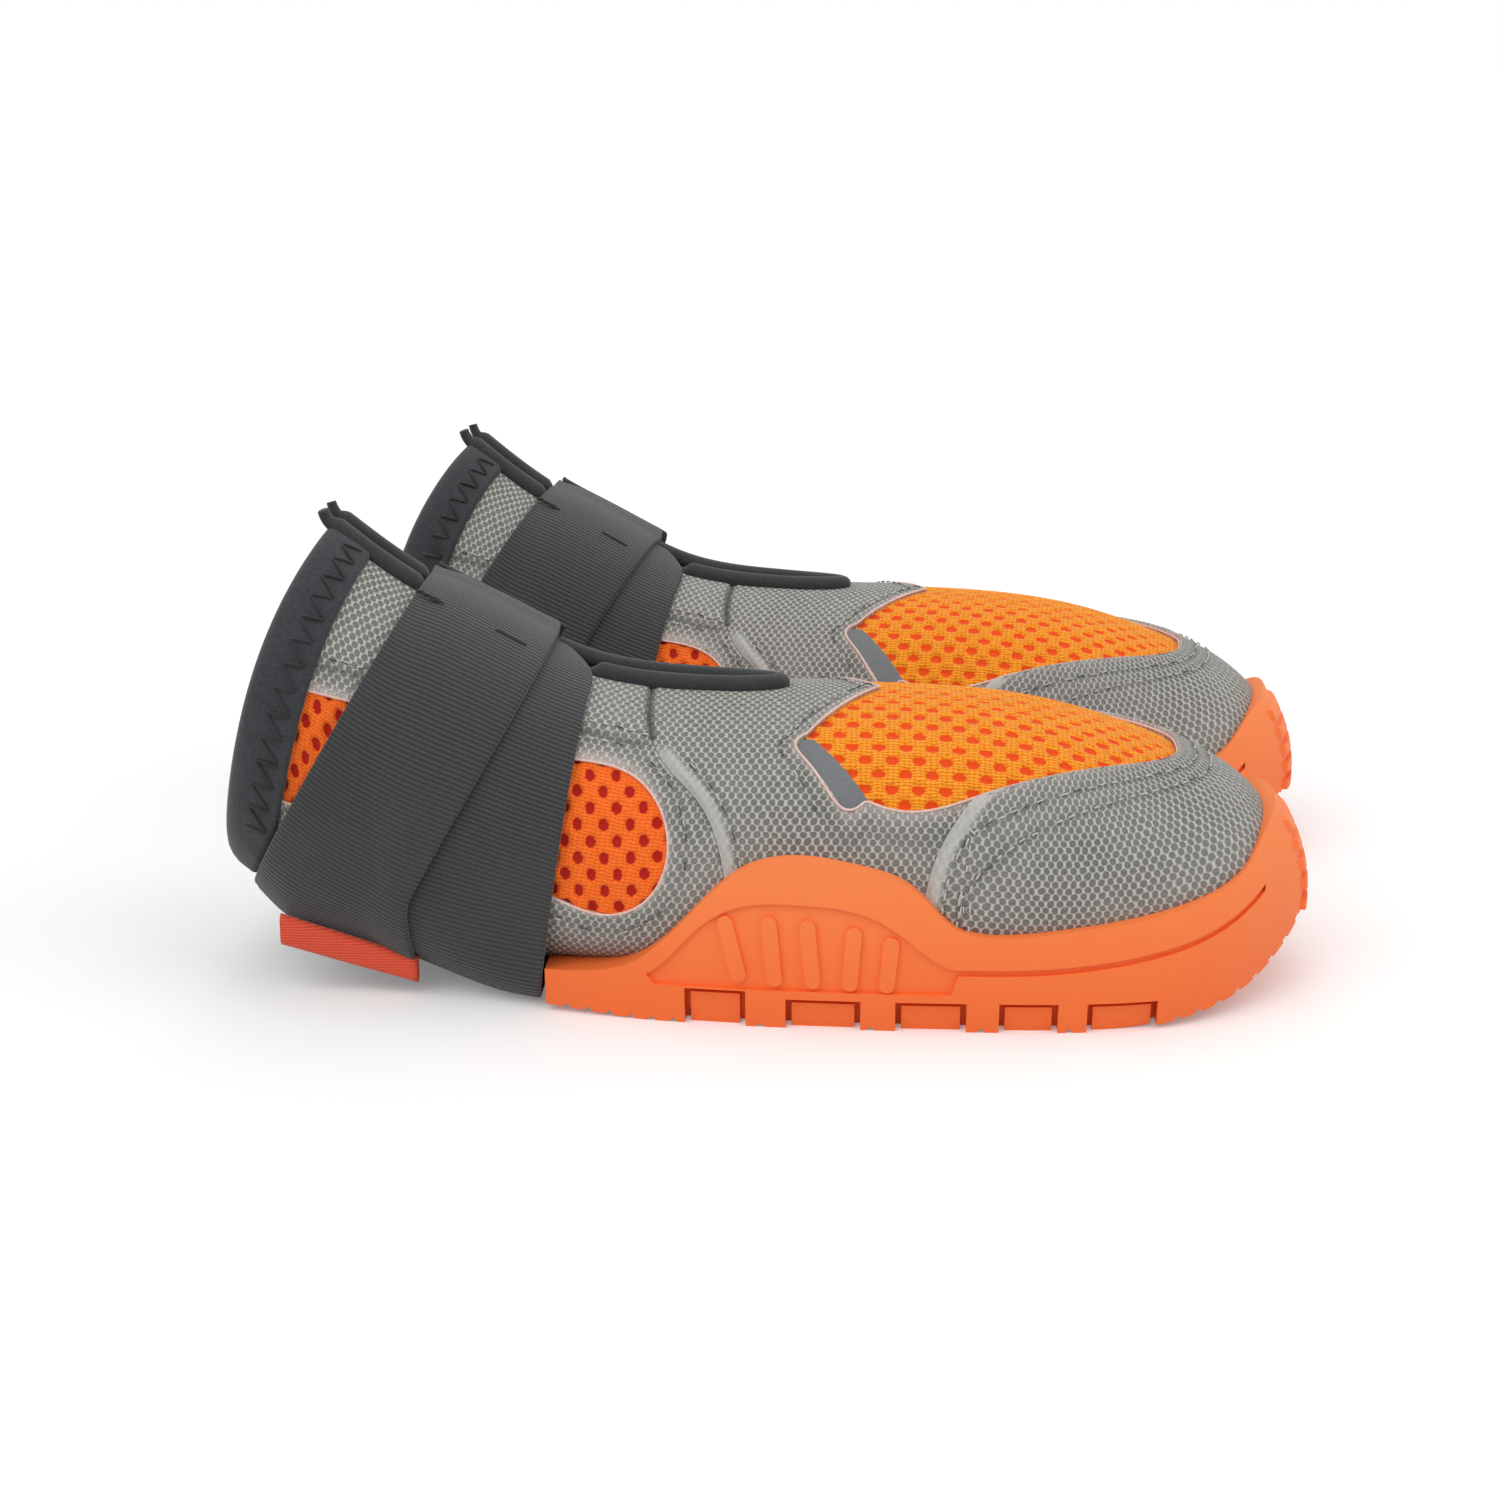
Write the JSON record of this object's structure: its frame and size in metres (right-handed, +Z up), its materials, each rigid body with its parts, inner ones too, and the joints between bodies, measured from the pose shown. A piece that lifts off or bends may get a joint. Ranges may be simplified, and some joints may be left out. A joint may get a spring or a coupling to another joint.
{
  "type": "dog boot pair",
  "caption": "Pair of soft dog boots with orange moulded rubber cup soles, grey panels over orange mesh, a padded shaft and a wrap-round hook-and-loop strap.",
  "frame": {"origin": "on the floor under the middle of the pair's bounding box", "axes": "+X towards the right boot's toe, +Y from the right boot to the left boot, +Z up"},
  "size_m": [0.1996, 0.1625, 0.0834],
  "materials": {
    "orange_rubber": "matt moulded rubber",
    "board": "bonded fibre board",
    "insole_foam": "foam with a brushed cover",
    "black_lining": "brushed knit on foam",
    "orange_mesh": "air mesh",
    "grey_weave": "coarse weave",
    "grey_smooth": "smooth coated fabric",
    "black_stretch": "stretch binding",
    "black_neoprene": "neoprene",
    "charcoal_webbing": "ribbed elastic webbing",
    "black_loop": "loop pile",
    "black_hook": "moulded hooks",
    "red_ribbon": "woven ribbon"
  },
  "bodies": {
    "right_boot": {"right_outsole": "orange_rubber", "right_lasting_board": "board", "right_insole": "insole_foam", "right_lining": "black_lining", "right_vamp_mesh": "orange_mesh", "right_side_mesh": "orange_mesh", "right_quarter_panel": "grey_weave", "right_saddle_panel": "grey_weave", "right_vamp_patch": "grey_smooth", "right_toe_cap": "grey_weave", "right_throat_binding": "black_stretch", "right_throat_gusset": "black_stretch", "right_collar": "black_neoprene", "right_strap_first_turn": "charcoal_webbing", "right_strap_second_turn": "charcoal_webbing", "right_loop_patch": "black_loop"},
    "right_strap_end": {"right_strap_flap": "charcoal_webbing", "right_hook_patch": "black_hook"},
    "right_tab": {"right_pull_tab": "red_ribbon"},
    "left_boot": {"left_outsole": "orange_rubber", "left_lasting_board": "board", "left_insole": "insole_foam", "left_lining": "black_lining", "left_vamp_mesh": "orange_mesh", "left_side_mesh": "orange_mesh", "left_quarter_panel": "grey_weave", "left_saddle_panel": "grey_weave", "left_vamp_patch": "grey_smooth", "left_toe_cap": "grey_weave", "left_throat_binding": "black_stretch", "left_throat_gusset": "black_stretch", "left_collar": "black_neoprene", "left_strap_first_turn": "charcoal_webbing", "left_strap_second_turn": "charcoal_webbing", "left_loop_patch": "black_loop"},
    "left_strap_end": {"left_strap_flap": "charcoal_webbing", "left_hook_patch": "black_hook"},
    "left_tab": {"left_pull_tab": "red_ribbon"}
  },
  "joints": [
    {"name": "right_strap_peel", "type": "hinge", "parent": "right_boot", "child": "right_strap_end", "pos_m": [-0.05145, -0.0345, 0.06495], "axis": [0.8933, 0, -0.4494], "range_deg": [0, 110]},
    {"name": "right_tab_swing", "type": "hinge", "parent": "right_boot", "child": "right_tab", "pos_m": [-0.0872, -0.0665, 0.01186], "axis": [0.9442, 0, -0.3295], "range_deg": [-30, 45]},
    {"name": "left_strap_peel", "type": "hinge", "parent": "left_boot", "child": "left_strap_end", "pos_m": [-0.04075, 0.05659, 0.06495], "axis": [0.8878, -0.0996, -0.4494], "range_deg": [0, 110]},
    {"name": "left_tab_swing", "type": "hinge", "parent": "left_boot", "child": "left_tab", "pos_m": [-0.07984, 0.02878, 0.01186], "axis": [0.9383, -0.1052, -0.3295], "range_deg": [-30, 45]},
    {"name": "left_boot_lift", "type": "slide", "parent": "right_boot", "child": "left_boot", "axis": [0, 0, 1], "range_m": [0, 0.12]}
  ]
}
